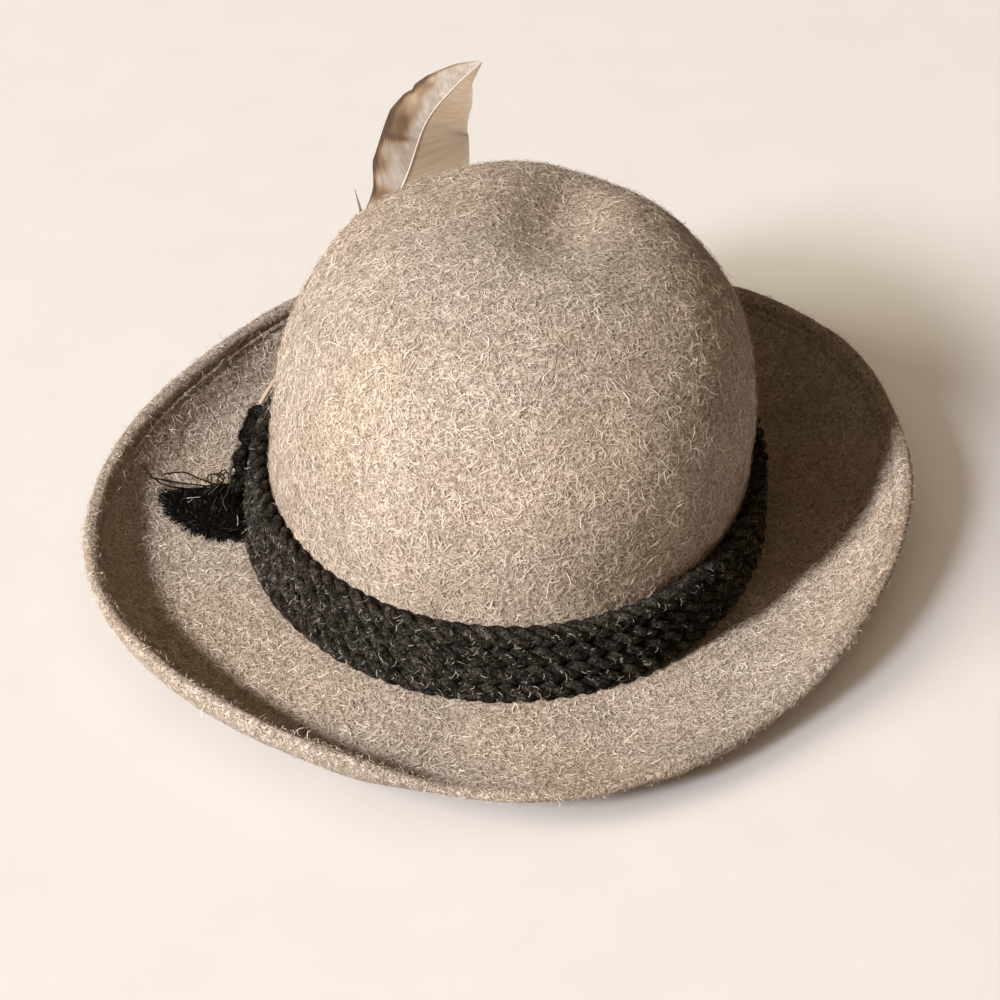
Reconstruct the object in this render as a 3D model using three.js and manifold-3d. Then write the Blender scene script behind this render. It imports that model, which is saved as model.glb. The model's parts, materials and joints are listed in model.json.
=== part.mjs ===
// A tyrolean hat of hairy felt: a round crown on a curled brim, a band of four wool cords,
// and on one side a knot with a tassel, a feather and a slim second plume.
// Millimetres, +Z up. The hat rests on the flat ring where the brim leaves the crown.
// Turns are in degrees anticlockwise from +X, seen from above; the front of the hat is at -Y.
import * as THREE from 'three';
import Module from 'manifold-3d';
import { mergeVertices } from 'three/addons/utils/BufferGeometryUtils.js';

const wasm = await Module();
wasm.setup();

// Driving dimensions of the felt
const CROWN_LENGTH = 202; // front to back over the felt, at the foot of the crown
const CROWN_WIDTH = 172; // side to side over the felt, at the foot of the crown
const CROWN_HEIGHT = 120.5; // from the surface that the hat rests on
const CROWN_WALL_HEIGHT = 36; // top of the nearly upright wall, below the dome
const CROWN_TAPER = 2.8; // how far each side has come in at the top of that wall
const CROWN_LEAN = 7.9; // how far the top leans towards +X
const CROWN_TIP = 5; // how far the top is lower on its +X side
const DOME_FULLNESS = 0.877; // below 1 the dome bulges more than a ball at its shoulders
const DOME_ROUNDNESS = 0.733; // below 1 it climbs faster from the wall and is flatter on top
const DENT_DEPTH = 7; // of the deepest dent in the top
const FELT_THICKNESS = 2.5;
const BRIM_WIDTH = 64; // measured along the felt from the crown
const BRIM_FLAT = 10; // how far the brim runs flat before it curls
const BRIM_CURL = 60; // degrees, how steep the brim stands where it is at its steepest
const ROLL_WIDTH = 12; // the outermost part of the brim, which flares out or turns up
const HEM_WIDTH = 7.5; // felt turned over on the upper side of the edge
const HEM_STEP = 1.5; // how far the turned felt stands up

// Driving dimensions of the trim
const CORD_DIAMETER = 6.7;
const CORD_ROWS = 4;
const KNOT_SIZE = 17; // height of the knot on the band
const TASSEL_LENGTH = 31;
const LOCK_DIAMETER = 6.4;
const QUILL_DIAMETER = 2.4;
const VANE_THICKNESS = 1.1;
const LEFT_VANE = 15;
const RIGHT_VANE = 24;
const PLUME_VANE = 3;
const CLEARANCE = 0.3; // between pieces that lie on each other

// How finely the shapes are faceted
const TURNS = 52;
const BRIM_STEPS = 24;
const DOME_RINGS = 11;
const HOLLOW_RINGS = 9;
const TOP_RING = 85; // degrees up the dome, the ring next to its top
const CORD_SIDES = 8;
const LOCK_SIDES = 5;
const LOCK_STEPS = 4;
const FEATHER_STEPS = 18;

// Sizes that follow from the ones above
const BREAK_RADIUS = CORD_DIAMETER / 2 + CLEARANCE; // the lowest cord lies in this bend
const CROWN_FOOT = FELT_THICKNESS + BREAK_RADIUS;
const BAND_DEPTH = CORD_DIAMETER + CLEARANCE;
const CORD_PITCH = CORD_DIAMETER + CLEARANCE;
const EDGE_THICKNESS = FELT_THICKNESS + HEM_STEP;

// The brim by direction, every 30 degrees from +X, as shares of its width and its curl.
// Ease says how late the curl comes: a larger number keeps the felt flat for longer.
// Flare is added to the curl over the outermost part: below 0 the edge leans out, above 0 it turns up.
const BRIM_BY_TURN = [
  { width: 1.0, curl: 1.12, ease: 1.3, flare: -0.8 },
  { width: 1.04, curl: 1.15, ease: 1.45, flare: -0.55 },
  { width: 0.93, curl: 1.1, ease: 1.65, flare: -0.2 },
  { width: 0.9, curl: 1.12, ease: 1.7, flare: -0.15 },
  { width: 0.83, curl: 1.22, ease: 1.8, flare: -0.45 },
  { width: 0.81, curl: 1.5, ease: 1.5, flare: -0.85 },
  { width: 0.98, curl: 1.26, ease: 1.8, flare: -0.7 },
  { width: 1.2, curl: 1.2, ease: 2.15, flare: 0.1 },
  { width: 1.2, curl: 1.3, ease: 2.3, flare: 0.4 },
  { width: 1.09, curl: 0.64, ease: 1.6, flare: 0.0 },
  { width: 0.91, curl: 0.5, ease: 1.4, flare: -0.2 },
  { width: 0.93, curl: 1.0, ease: 1.5, flare: -0.5 },
];

// Dents in the top of the crown. Middle, length and breadth are shares of the crown's half width,
// bearing is where the dent points, depth is a share of the deepest dent.
const CROWN_DENTS = [
  { across: 0.15, along: 0.24, length: 0.42, breadth: 0.18, bearing: 72, depth: 1.0 },
  { across: 0.22, along: -0.06, length: 0.3, breadth: 0.12, bearing: 50, depth: 0.2 },
  { across: -0.3, along: 0.1, length: 0.35, breadth: 0.25, bearing: 60, depth: 0.18 },
];

const radians = THREE.MathUtils.degToRad;
const halfWidth = CROWN_WIDTH / 2;
const halfLength = CROWN_LENGTH / 2;

// The oval at the foot of the crown, with its outward direction
function crownOval(turn) {
  const point = new THREE.Vector3(halfWidth * Math.cos(turn), halfLength * Math.sin(turn), 0);
  const outward = new THREE.Vector3(Math.cos(turn) / halfWidth, Math.sin(turn) / halfLength, 0);
  return { point, outward: outward.normalize() };
}

// One column of the brim table, carried smoothly round the hat
function brimShare(column, turn) {
  const rows = BRIM_BY_TURN.length;
  const place = THREE.MathUtils.euclideanModulo(turn / (2 * Math.PI), 1) * rows;
  const row = Math.floor(place);
  const share = (step) => BRIM_BY_TURN[(row + step + rows) % rows][column];
  const t = place - row;
  const slope0 = (share(1) - share(-1)) / 2;
  const slope1 = (share(2) - share(0)) / 2;
  const rise = share(1) - share(0);
  return share(0) + t * (slope0 + t * (3 * rise - 2 * slope0 - slope1 + t * (slope0 + slope1 - 2 * rise)));
}

const brimWidth = (turn) => BRIM_WIDTH * brimShare('width', turn);

// How steeply the brim rises, at a distance along the felt from the crown
function brimSlope(turn, along) {
  const width = brimWidth(turn);
  const curled = Math.max(0, (along - BRIM_FLAT) / (width - BRIM_FLAT)) ** brimShare('ease', turn);
  const rolled = THREE.MathUtils.clamp(1 - (width - along) / ROLL_WIDTH, 0, 1);
  return radians(BRIM_CURL * (brimShare('curl', turn) * curled + brimShare('flare', turn) * rolled));
}

// A point of the brim: so far along the felt from the crown, lifted so far off its under face
function brimPoint(turn, along, lift) {
  const stride = along / BRIM_STEPS;
  let out = 0;
  let up = 0;
  for (let step = 0; step < BRIM_STEPS; step += 1) {
    const slope = brimSlope(turn, stride * (step + 0.5));
    out += Math.cos(slope) * stride;
    up += Math.sin(slope) * stride;
  }
  const slope = brimSlope(turn, along);
  const { point, outward } = crownOval(turn);
  point.addScaledVector(outward, out - Math.sin(slope) * lift);
  point.z = up + Math.cos(slope) * lift;
  return point;
}

// A point of the bend between brim and crown, from 0 at the brim to 1 at the crown
function breakPoint(turn, share, lift) {
  const angle = (share * Math.PI) / 2;
  const radius = BREAK_RADIUS + FELT_THICKNESS - lift;
  const { point, outward } = crownOval(turn);
  point.addScaledVector(outward, BREAK_RADIUS - radius * Math.sin(angle));
  point.z = CROWN_FOOT - radius * Math.cos(angle);
  return point;
}

// How far the dents lower the crown at a place in its top
function dentAt(x, y) {
  let drop = 0;
  for (const dent of CROWN_DENTS) {
    const bearing = radians(dent.bearing);
    const dx = x / halfWidth - dent.across;
    const dy = y / halfWidth - dent.along;
    const lengthwise = (dx * Math.cos(bearing) + dy * Math.sin(bearing)) / dent.length;
    const sideways = (dy * Math.cos(bearing) - dx * Math.sin(bearing)) / dent.breadth;
    drop += DENT_DEPTH * dent.depth * Math.exp(-(lengthwise ** 2 + sideways ** 2));
  }
  return drop;
}

// How far a point at some height has moved sideways with the crown's lean
const leanAt = (z) => (CROWN_LEAN * (z - CROWN_FOOT)) / (CROWN_HEIGHT - CROWN_FOOT);

// A point of the crown at a height share of its wall, or an angle up its dome, grown outwards
function crownPoint(turn, wallShare, domeAngle, grown) {
  const width = halfWidth + grown - CROWN_TAPER * wallShare;
  const length = halfLength + grown - CROWN_TAPER * wallShare;
  const shrink = Math.max(0, Math.cos(domeAngle)) ** DOME_FULLNESS;
  const domeHeight = CROWN_HEIGHT + grown - CROWN_WALL_HEIGHT;
  const wallRise = wallShare * (CROWN_WALL_HEIGHT - CROWN_FOOT);
  const x = width * shrink * Math.cos(turn);
  const y = length * shrink * Math.sin(turn);
  const z = CROWN_FOOT + wallRise + domeHeight * Math.sin(domeAngle) ** DOME_ROUNDNESS;
  const topShare = Math.max(0, z - CROWN_FOOT) / (CROWN_HEIGHT - CROWN_FOOT);
  const tip = CROWN_TIP * (x / halfWidth) * topShare ** 2;
  return new THREE.Vector3(x + leanAt(z), y, z - tip - dentAt(x, y) * topShare ** 4);
}

// A closed skin over rings of points. Without poles its last ring joins its first.
function skin(rings, poles) {
  const around = rings[0].length;
  const positions = rings.flat().flatMap((point) => point.toArray());
  const index = [];
  const ringCount = poles ? rings.length - 1 : rings.length;
  for (let ring = 0; ring < ringCount; ring += 1) {
    const here = ring * around;
    const next = ((ring + 1) % rings.length) * around;
    for (let step = 0; step < around; step += 1) {
      const beside = (step + 1) % around;
      index.push(here + step, next + step, next + beside);
      index.push(here + step, next + beside, here + beside);
    }
  }
  if (poles) {
    const first = rings.length * around;
    const lastRing = (rings.length - 1) * around;
    positions.push(...poles[0].toArray(), ...poles[1].toArray());
    for (let step = 0; step < around; step += 1) {
      const beside = (step + 1) % around;
      index.push(first, step, beside);
      index.push(lastRing + step, first + 1, lastRing + beside);
    }
  }
  const geometry = new THREE.BufferGeometry();
  geometry.setAttribute('position', new THREE.Float32BufferAttribute(positions, 3));
  geometry.setIndex(index);
  return geometry;
}

const allTurns = Array.from({ length: TURNS }, (_, step) => (2 * Math.PI * step) / TURNS);
const ringOf = (place) => allTurns.map(place);
const spread = (count, from, to) =>
  Array.from({ length: count }, (_, step) => from + ((to - from) * step) / (count - 1));

// The felt's upper side from the top of the crown to the hem, raised by a little where asked
function upperRings(raised) {
  const lift = FELT_THICKNESS + raised;
  const rings = [];
  for (const angle of spread(DOME_RINGS, TOP_RING, 0)) {
    rings.push(ringOf((turn) => crownPoint(turn, 1, radians(angle), raised)));
  }
  for (const share of [0.5, 0]) {
    rings.push(ringOf((turn) => crownPoint(turn, share, 0, raised)));
  }
  for (const share of [0.67, 0.33, 0]) {
    rings.push(ringOf((turn) => breakPoint(turn, share, lift)));
  }
  for (const share of spread(9, 0, 1)) {
    rings.push(ringOf((turn) => {
      const hemLine = brimWidth(turn) - HEM_WIDTH;
      return brimPoint(turn, BRIM_FLAT + share * (hemLine - BRIM_FLAT), lift);
    }));
  }
  const hemTop = HEM_WIDTH - HEM_STEP / 2;
  rings.push(ringOf((turn) => brimPoint(turn, brimWidth(turn) - hemTop, lift + HEM_STEP)));
  return rings;
}

// The rounded edge, from the hem's upper face to the under face
function edgeRings(raised) {
  const radius = EDGE_THICKNESS / 2;
  return [90, 45, 0, -45, -90].map((degrees) => {
    const angle = radians(degrees);
    return ringOf((turn) => brimPoint(
      turn,
      brimWidth(turn) - radius + (radius + raised) * Math.cos(angle),
      radius + (radius + raised) * Math.sin(angle),
    ));
  });
}

// The felt's under side from the edge to the top of the hollow
function underRings() {
  const rings = [];
  for (const share of [0.92, 0.84, 0.68, 0.5, 0.33, 0.16, 0]) {
    rings.push(ringOf((turn) => brimPoint(turn, BRIM_FLAT + share * (brimWidth(turn) - BRIM_FLAT), 0)));
  }
  for (const share of [0, 0.33, 0.67]) {
    rings.push(ringOf((turn) => breakPoint(turn, share, 0)));
  }
  rings.push(ringOf((turn) => crownPoint(turn, 0, 0, -FELT_THICKNESS)));
  for (const angle of spread(HOLLOW_RINGS, 0, TOP_RING)) {
    rings.push(ringOf((turn) => crownPoint(turn, 1, radians(angle), -FELT_THICKNESS)));
  }
  return rings;
}

function feltSkin(raised) {
  const rings = [...upperRings(raised), ...edgeRings(raised), ...underRings()];
  const top = crownPoint(0, 1, Math.PI / 2, raised);
  const hollowTop = crownPoint(0, 1, Math.PI / 2, -FELT_THICKNESS);
  return skin(rings, [top, hollowTop]);
}

// One row of the band, a closed cord that lies on the crown
function cordSkin(row, grown) {
  const radius = CORD_DIAMETER / 2;
  const height = CROWN_FOOT + row * CORD_PITCH;
  const wallShare = (height - CROWN_FOOT) / (CROWN_WALL_HEIGHT - CROWN_FOOT);
  const rings = [];
  for (let side = 0; side < CORD_SIDES; side += 1) {
    const angle = (-2 * Math.PI * side) / CORD_SIDES;
    rings.push(ringOf((turn) => {
      const { outward } = crownOval(turn);
      const point = crownPoint(turn, wallShare, 0, 0);
      point.addScaledVector(outward, CLEARANCE + radius + (radius + grown) * Math.cos(angle));
      point.z = height + (radius + grown) * Math.sin(angle);
      return point;
    }));
  }
  return skin(rings, null);
}

// A round rod along a curve, with its radius by share of the length and blunt ends
const ROD_BLUNTNESS = 0.04; // share of its length that each pointed end takes
function rod(points, radiusAt, sides, steps) {
  const curve = new THREE.CatmullRomCurve3(points);
  const frames = curve.computeFrenetFrames(steps);
  const rings = [];
  for (let step = 0; step <= steps; step += 1) {
    const share = THREE.MathUtils.lerp(ROD_BLUNTNESS, 1 - ROD_BLUNTNESS, step / steps);
    const centre = curve.getPointAt(share);
    const ring = [];
    for (let side = 0; side < sides; side += 1) {
      const angle = (-2 * Math.PI * side) / sides;
      const point = centre.clone();
      point.addScaledVector(frames.normals[step], radiusAt(share) * Math.cos(angle));
      point.addScaledVector(frames.binormals[step], radiusAt(share) * Math.sin(angle));
      ring.push(point);
    }
    rings.push(ring);
  }
  return skin(rings, [curve.getPointAt(0), curve.getPointAt(1)]);
}

function ball(centre, radii) {
  const geometry = new THREE.SphereGeometry(1, 10, 6);
  geometry.scale(...radii);
  geometry.translate(...centre.toArray());
  return geometry;
}

function toSolid(geometry) {
  const bare = geometry.clone();
  bare.deleteAttribute('normal');
  bare.deleteAttribute('uv');
  const merged = mergeVertices(bare, 1e-4);
  return new wasm.Manifold(new wasm.Mesh({
    numProp: 3,
    vertProperties: new Float32Array(merged.attributes.position.array),
    triVerts: new Uint32Array(merged.index.array),
  }));
}

function toGeometry(solid) {
  const mesh = solid.getMesh();
  const geometry = new THREE.BufferGeometry();
  geometry.setAttribute('position', new THREE.BufferAttribute(mesh.vertProperties, 3));
  geometry.setIndex(new THREE.BufferAttribute(mesh.triVerts, 1));
  return geometry;
}

const join = (solids) => solids.reduce((whole, solid) => whole.add(solid));

// A trim piece keeps the clearance to what it lies on, and loses any chip cut off it
function seated(solid, neighbours) {
  const cut = neighbours.reduce((rest, neighbour) => rest.subtract(neighbour), solid);
  const parts = cut.decompose();
  return parts.reduce((largest, part) => (part.volume() > largest.volume() ? part : largest));
}

// A place beside the crown, as shares of the band's half width and half length and the crown's height
function besideCrown(across, along, height) {
  const z = height * CROWN_HEIGHT;
  const x = across * (halfWidth + BAND_DEPTH) + leanAt(z);
  return new THREE.Vector3(x, along * (halfLength + BAND_DEPTH), z);
}

// A place on the outside of the band: a turn, a height and how far it stands off the cords
function onBand(turn, height, off) {
  const { point, outward } = crownOval(radians(turn));
  point.addScaledVector(outward, BAND_DEPTH + off);
  point.x += leanAt(height);
  point.z = height;
  return point;
}

// The tassel's head lies on the brim against the band. Its sizes are shares of a lock's radius.
const HEAD = { turn: 177, out: 1.6, along: 1.2, across: 1.35, up: 1 };
const FAN_SPREAD = 0.8; // below 1 the locks at the sides of the fan lie further round the hat

// A place of the tassel, from its head: so far at an angle over the brim, at a height over the felt
function tasselPoint(distance, fanAngle, height) {
  const out = BAND_DEPTH + (LOCK_DIAMETER / 2) * HEAD.out + distance * Math.cos(fanAngle);
  const turn = radians(HEAD.turn) + (distance * Math.sin(fanAngle)) / (halfLength + FAN_SPREAD * out);
  return brimPoint(turn, out, FELT_THICKNESS + height);
}

// Layers of locks: how many, how long, how high, and the fan they fill in degrees from straight out
const TASSEL_LAYERS = [
  { locks: 8, length: 1.0, height: 0.55, from: 4, to: 98 },
  { locks: 7, length: 0.86, height: 1.05, from: 12, to: 90 },
];
// One lock: how high its head lies as a share of its tip, how thick its root is, where it is fullest
const LOCK = { lowAtHead: 0.75, root: 0.55, fullest: 0.8 };

function lockSolid(layer, fan, grown) {
  const points = [0, 0.3, 0.65, 1].map((share) => {
    const height = LOCK_DIAMETER * layer.height * THREE.MathUtils.lerp(LOCK.lowAtHead, 1, share);
    return tasselPoint(TASSEL_LENGTH * layer.length * share, radians(fan), height);
  });
  const radiusAt = (share) => {
    const swelling = Math.sin(((share / LOCK.fullest) * Math.PI) / 2);
    return (LOCK_DIAMETER / 2) * THREE.MathUtils.lerp(LOCK.root, 1, swelling) + grown;
  };
  return toSolid(rod(points, radiusAt, LOCK_SIDES, LOCK_STEPS));
}

function tasselSolid(grown) {
  const radius = LOCK_DIAMETER / 2;
  const headRadii = [HEAD.along, HEAD.across, HEAD.up].map((share) => radius * share + grown);
  const pieces = [toSolid(ball(tasselPoint(0, 0, radius), headRadii))];
  for (const layer of TASSEL_LAYERS) {
    for (const fan of spread(layer.locks, layer.from, layer.to)) {
      pieces.push(lockSolid(layer, fan, grown));
    }
  }
  return join(pieces);
}

// The knot: a core up the band with two loops of cord round it. Lengths are shares of the knot's size.
const KNOT_CORE = [
  { turn: 178, height: 0.45, off: 0.2 },
  { turn: 173, height: 0.95, off: 0.2 },
  { turn: 168, height: 1.4, off: 0.15 },
  { turn: 162, height: 1.75, off: 0.05 },
];
const CORE_RADIUS = { ends: 0.14, middle: 0.34 };
const KNOT_LOOPS = [
  { turn: 175, height: 0.72, tilt: 25, across: 0.42, up: 0.5 },
  { turn: 170, height: 1.3, tilt: -35, across: 0.36, up: 0.46 },
];
const LOOP = { off: 0.16, cord: 0.42, depth: 0.36 };

function knotSolid() {
  const core = KNOT_CORE.map((row) => onBand(row.turn, row.height * KNOT_SIZE, row.off * KNOT_SIZE));
  const coreRadius = (share) =>
    KNOT_SIZE * THREE.MathUtils.lerp(CORE_RADIUS.ends, CORE_RADIUS.middle, Math.sin(share * Math.PI));
  const pieces = [toSolid(rod(core, coreRadius, 8, 7))];
  for (const loop of KNOT_LOOPS) {
    const middle = onBand(loop.turn, loop.height * KNOT_SIZE, LOOP.off * KNOT_SIZE);
    const ring = new THREE.TorusGeometry(1, LOOP.cord, 6, 10);
    ring.scale(KNOT_SIZE * loop.across, KNOT_SIZE * loop.up, KNOT_SIZE * LOOP.depth);
    ring.rotateZ(radians(loop.tilt));
    ring.rotateX(Math.PI / 2);
    ring.rotateZ(radians(loop.turn + 90));
    ring.translate(...middle.toArray());
    pieces.push(toSolid(ring));
  }
  return join(pieces);
}

// The feather's midrib as places beside the crown, and its vanes by share of its length
const FEATHER_PATH = [
  { across: -1.03, along: 0.05, height: 0.15 },
  { across: -0.985, along: 0.23, height: 0.22 },
  { across: -0.83, along: 0.43, height: 0.35 },
  { across: -0.69, along: 0.63, height: 0.51 },
  { across: -0.475, along: 0.775, height: 0.687 },
  { across: -0.378, along: 0.8, height: 0.926 },
  { across: -0.29, along: 0.815, height: 1.023 },
  { across: -0.18, along: 0.83, height: 1.112 },
];
const FEATHER_VANES = [
  { at: 0.0, left: 0, right: 0 },
  { at: 0.38, left: 0, right: 0 },
  { at: 0.46, left: 0.15, right: 0.12 },
  { at: 0.56, left: 0.3, right: 0.3 },
  { at: 0.66, left: 0.7, right: 0.6 },
  { at: 0.73, left: 0.92, right: 1.0 },
  { at: 0.83, left: 1.0, right: 0.74 },
  { at: 0.91, left: 0.72, right: 0.44 },
  { at: 0.96, left: 0.4, right: 0.13 },
  { at: 1.0, left: 0, right: 0 },
];
const PLUME_PATH = [
  { across: -1.04, along: 0.1, height: 0.09 },
  { across: -0.975, along: 0.34, height: 0.17 },
  { across: -0.81, along: 0.55, height: 0.31 },
  { across: -0.68, along: 0.71, height: 0.44 },
  { across: -0.61, along: 0.78, height: 0.57 },
  { across: -0.645, along: 0.8, height: 0.69 },
];
const PLUME_VANES = [
  { at: 0.0, left: 0, right: 0 },
  { at: 0.35, left: 0, right: 0 },
  { at: 0.6, left: 1, right: 1 },
  { at: 0.85, left: 0.5, right: 0.5 },
  { at: 1.0, left: 0, right: 0 },
];

// One column of a vane table at a share of the feather's length
function vaneShare(table, column, at) {
  const next = table.findIndex((row, place) => place > 0 && at <= row.at);
  const [low, high] = [table[next - 1], table[next]];
  return THREE.MathUtils.mapLinear(at, low.at, high.at, low[column], high[column]);
}

const FEATHER_FACING = new THREE.Vector3(0.5, -0.82, 0.25); // the way its front side looks
const QUILL_TAPER = 0.6; // share of its thickness that the midrib loses by its tip
const VANE_CUP = 0.004; // per mm, how fast a vane bends back with the square of its reach
const RIB_SHARE = 0.7; // the vanes stay this much thinner than the midrib

// A feather as one thin solid: a round quill that widens into two cupped vanes
function featherSkin(path, table, leftVane, rightVane, grown) {
  const curve = new THREE.CatmullRomCurve3(path.map((row) => besideCrown(row.across, row.along, row.height)));
  const rings = [];
  for (let step = 0; step <= FEATHER_STEPS; step += 1) {
    const at = step / FEATHER_STEPS;
    const centre = curve.getPointAt(at);
    const forward = curve.getTangentAt(at);
    const left = new THREE.Vector3().crossVectors(FEATHER_FACING, forward).normalize();
    const front = new THREE.Vector3().crossVectors(forward, left);
    const rib = (QUILL_DIAMETER / 2) * (1 - QUILL_TAPER * at) + grown;
    const reachLeft = rib + leftVane * vaneShare(table, 'left', at);
    const reachRight = rib + rightVane * vaneShare(table, 'right', at);
    const thick = Math.min(VANE_THICKNESS / 2 + grown, RIB_SHARE * rib);
    const place = (side, depth) => centre.clone().addScaledVector(left, side).addScaledVector(front, depth);
    const onVane = (side, depth) => place(side, depth - VANE_CUP * side * side);
    rings.push([
      onVane(reachLeft, 0),
      onVane(reachLeft / 2, thick),
      place(0, rib),
      onVane(-reachRight / 2, thick),
      onVane(-reachRight, 0),
      onVane(-reachRight / 2, -thick),
      place(0, -rib),
      onVane(reachLeft / 2, -thick),
    ].reverse());
  }
  const ends = [curve.getPointAt(0), curve.getPointAt(1)];
  ends[0].addScaledVector(curve.getTangentAt(0), -QUILL_DIAMETER / 2);
  ends[1].addScaledVector(curve.getTangentAt(1), QUILL_DIAMETER / 2);
  return skin(rings, ends);
}

const featherGeometry = (grown) => featherSkin(FEATHER_PATH, FEATHER_VANES, LEFT_VANE, RIGHT_VANE, grown);
const plumeGeometry = (grown) => featherSkin(PLUME_PATH, PLUME_VANES, PLUME_VANE, PLUME_VANE, grown);

// Materials
const felt = new THREE.MeshStandardMaterial({ color: 0xa39380, roughness: 0.95, metalness: 0 });
const wool = new THREE.MeshStandardMaterial({ color: 0x24211f, roughness: 0.9, metalness: 0 });
const vane = new THREE.MeshStandardMaterial({ color: 0xa8967f, roughness: 0.55, metalness: 0 });

function named(name, geometry, material) {
  geometry.computeVertexNormals();
  const mesh = new THREE.Mesh(geometry, material);
  mesh.name = name;
  return mesh;
}

// The hat
const hat = new THREE.Group();
hat.add(named('felt_hood', feltSkin(0), felt));

const grownBand = [];
for (let row = 0; row < CORD_ROWS; row += 1) {
  hat.add(named(`band_cord_${row + 1}`, cordSkin(row, 0), wool));
  grownBand.push(toSolid(cordSkin(row, CLEARANCE)));
}

const grownHat = [toSolid(feltSkin(CLEARANCE)), ...grownBand];
const grownFeathers = [toSolid(featherGeometry(CLEARANCE)), toSolid(plumeGeometry(CLEARANCE))];
const tassel = seated(tasselSolid(0), grownHat);
hat.add(named('tassel', toGeometry(tassel), wool));

const knot = seated(knotSolid(), [...grownHat, ...grownFeathers, tasselSolid(CLEARANCE)]);
hat.add(named('trim_knot', toGeometry(knot), wool));

hat.add(named('feather', featherGeometry(0), vane));
hat.add(named('small_plume', plumeGeometry(0), vane));

// The origin is under the middle of the outline
const outline = new THREE.Box3().setFromObject(hat);
const middle = outline.getCenter(new THREE.Vector3());
hat.position.set(-middle.x, -middle.y, 0);

export default hat;
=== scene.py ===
"""A tyrolean hat of hairy taupe felt: band of twisted wool cords, knot, tassel and two feathers.

Metres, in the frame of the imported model. Turns are in degrees anticlockwise from +X, seen from above.
The shapes repeat the sizes and short tables of the solid model, so each piece lies where its solid is.
"""

import json
import math

import bpy
import numpy as np
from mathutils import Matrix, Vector

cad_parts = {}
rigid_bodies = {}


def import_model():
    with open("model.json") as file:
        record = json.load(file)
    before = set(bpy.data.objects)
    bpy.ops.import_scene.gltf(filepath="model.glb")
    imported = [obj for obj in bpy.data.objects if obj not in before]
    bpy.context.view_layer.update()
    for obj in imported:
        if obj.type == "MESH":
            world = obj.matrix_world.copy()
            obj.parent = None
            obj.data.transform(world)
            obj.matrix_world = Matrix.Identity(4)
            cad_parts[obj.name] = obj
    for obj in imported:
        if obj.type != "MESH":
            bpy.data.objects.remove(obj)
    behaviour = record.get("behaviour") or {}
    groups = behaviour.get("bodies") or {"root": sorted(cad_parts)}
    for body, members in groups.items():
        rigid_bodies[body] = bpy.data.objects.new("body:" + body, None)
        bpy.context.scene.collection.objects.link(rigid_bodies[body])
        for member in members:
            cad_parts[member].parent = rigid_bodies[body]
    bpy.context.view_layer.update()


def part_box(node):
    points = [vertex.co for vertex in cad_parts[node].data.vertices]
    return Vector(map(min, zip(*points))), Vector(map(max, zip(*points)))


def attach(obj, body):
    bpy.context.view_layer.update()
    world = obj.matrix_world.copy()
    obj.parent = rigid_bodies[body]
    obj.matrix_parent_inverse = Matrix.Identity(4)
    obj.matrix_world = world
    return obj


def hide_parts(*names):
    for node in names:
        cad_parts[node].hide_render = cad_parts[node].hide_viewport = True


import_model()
MM = 0.001

# Driving dimensions of the felt
CROWN_LENGTH = 202 * MM
CROWN_WIDTH = 172 * MM
CROWN_HEIGHT = 120.5 * MM
CROWN_WALL_HEIGHT = 36 * MM
CROWN_TAPER = 2.8 * MM
CROWN_LEAN = 7.9 * MM
CROWN_TIP = 5 * MM
DOME_FULLNESS = 0.877
DOME_ROUNDNESS = 0.733
DENT_DEPTH = 7 * MM
DENT_UNDER_HAIR = 1.4  # the nap softens a dent, so the felt under it dips more
FELT_THICKNESS = 2.5 * MM
BRIM_WIDTH = 64 * MM
BRIM_FLAT = 10 * MM
BRIM_CURL = math.radians(60)
ROLL_WIDTH = 12 * MM
HEM_WIDTH = 7.5 * MM
HEM_STEP = 1.5 * MM

# Driving dimensions of the trim
CORD_DIAMETER = 6.7 * MM
CORD_ROWS = 4
CORD_LAY = 21.4 * MM  # one whole twist of a cord's strands
CORD_STRANDS = 3
STRAND_SHARE = {2: 0.62, 3: 0.5}  # a strand's thickness as a share of its cord's, by the number of strands
SMALL_CORD_LAY = 6 * MM
KNOT_SIZE = 17 * MM
TASSEL_LENGTH = 31 * MM
LOCK_DIAMETER = 6.4 * MM
QUILL_DIAMETER = 2.4 * MM
LEFT_VANE = 15 * MM
RIGHT_VANE = 24 * MM
PLUME_VANE = 3 * MM
CLEARANCE = 0.3 * MM

# Sizes that follow from the ones above
HALF_WIDTH = CROWN_WIDTH / 2
HALF_LENGTH = CROWN_LENGTH / 2
BREAK_RADIUS = CORD_DIAMETER / 2 + CLEARANCE
CROWN_FOOT = FELT_THICKNESS + BREAK_RADIUS
BAND_DEPTH = CORD_DIAMETER + CLEARANCE
CORD_PITCH = CORD_DIAMETER + CLEARANCE
BAND_TOP = CROWN_FOOT + (CORD_ROWS - 1) * CORD_PITCH + CORD_DIAMETER / 2
EDGE_RADIUS = (FELT_THICKNESS + HEM_STEP) / 2

# The brim every 30 degrees from +X, as shares of its width and its curl. Ease says how late the curl comes,
# and flare is added to the curl over the outermost part: below 0 the edge leans out, above 0 it turns up.
BRIM_BY_TURN = {
    "width": (1.0, 1.04, 0.93, 0.9, 0.83, 0.81, 0.98, 1.2, 1.2, 1.09, 0.91, 0.93),
    "curl": (1.12, 1.15, 1.1, 1.12, 1.22, 1.5, 1.26, 1.2, 1.3, 0.64, 0.5, 1.0),
    "ease": (1.3, 1.45, 1.65, 1.7, 1.8, 1.5, 1.8, 2.15, 2.3, 1.6, 1.4, 1.5),
    "flare": (-0.8, -0.55, -0.2, -0.15, -0.45, -0.85, -0.7, 0.1, 0.4, 0.0, -0.2, -0.5),
}

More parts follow.
